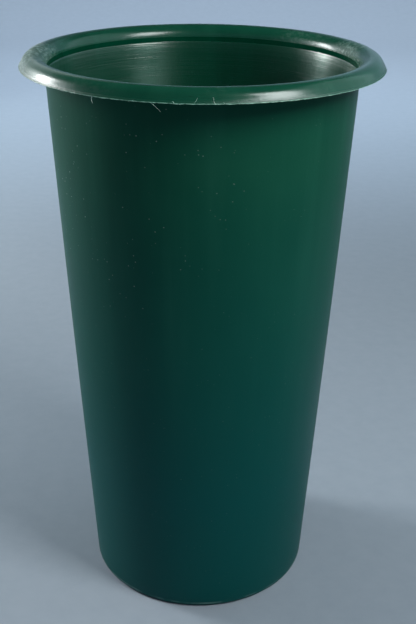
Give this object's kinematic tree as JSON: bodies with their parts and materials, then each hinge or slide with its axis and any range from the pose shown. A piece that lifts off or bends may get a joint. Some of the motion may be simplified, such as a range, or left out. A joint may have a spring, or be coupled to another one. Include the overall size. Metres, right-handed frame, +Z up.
{
  "type": "florist bucket",
  "caption": "Tall tapered round plastic bucket for cut flowers, with a rolled-over rim and no handle.",
  "frame": {"origin": "centre of the plane that the foot ring stands on", "axes": "+Z up along the bucket's axis, from the base to the mouth"},
  "size_m": [0.26, 0.26, 0.428],
  "materials": {
    "green_plastic": "semi-gloss as moulded, with fine turned lines inside"
  },
  "bodies": {
    "root": {"rim_shoulder": "green_plastic", "rim_skirt": "green_plastic", "neck_band": "green_plastic", "tapered_wall": "green_plastic", "heel": "green_plastic", "foot_ring": "green_plastic", "floor_riser": "green_plastic", "floor_panel": "green_plastic"}
  },
  "joints": []
}
